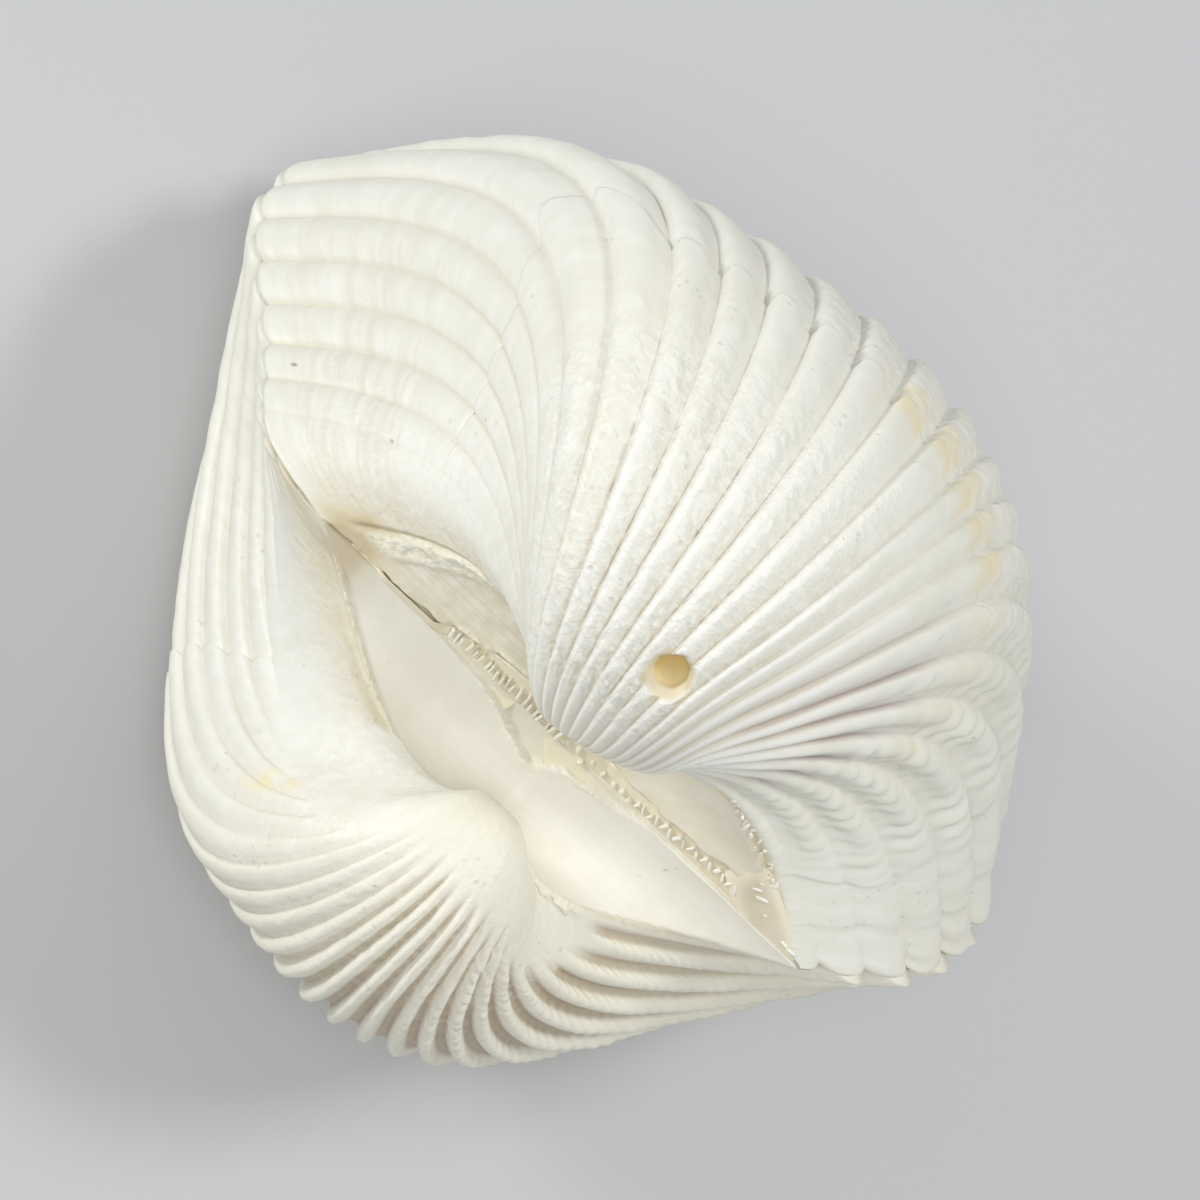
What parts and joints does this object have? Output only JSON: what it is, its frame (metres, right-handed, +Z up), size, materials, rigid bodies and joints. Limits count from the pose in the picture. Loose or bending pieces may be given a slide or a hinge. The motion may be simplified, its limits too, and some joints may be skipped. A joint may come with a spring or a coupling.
{
  "type": "ark clam shell",
  "caption": "Closed ark clam shell with strong radial ribs, a scalloped edge, a broad ligament area between the beaks and a round hole bored through one valve.",
  "frame": {"origin": "centre of the bottom of the shell's bounding box, on the surface it lies on", "axes": "+Z up from the surface the shell lies on, X along the hinge with +X towards the shell's front end, the left valve uppermost"},
  "size_m": [0.049, 0.0426, 0.0418],
  "materials": {
    "shell_left": "worn chalky white",
    "shell_right": "worn chalky white",
    "dried_ligament": "dry, brittle and slightly glossy"
  },
  "bodies": {
    "root": {"left_valve": "shell_left", "right_valve": "shell_right", "hinge_ligament": "dried_ligament"}
  },
  "joints": []
}
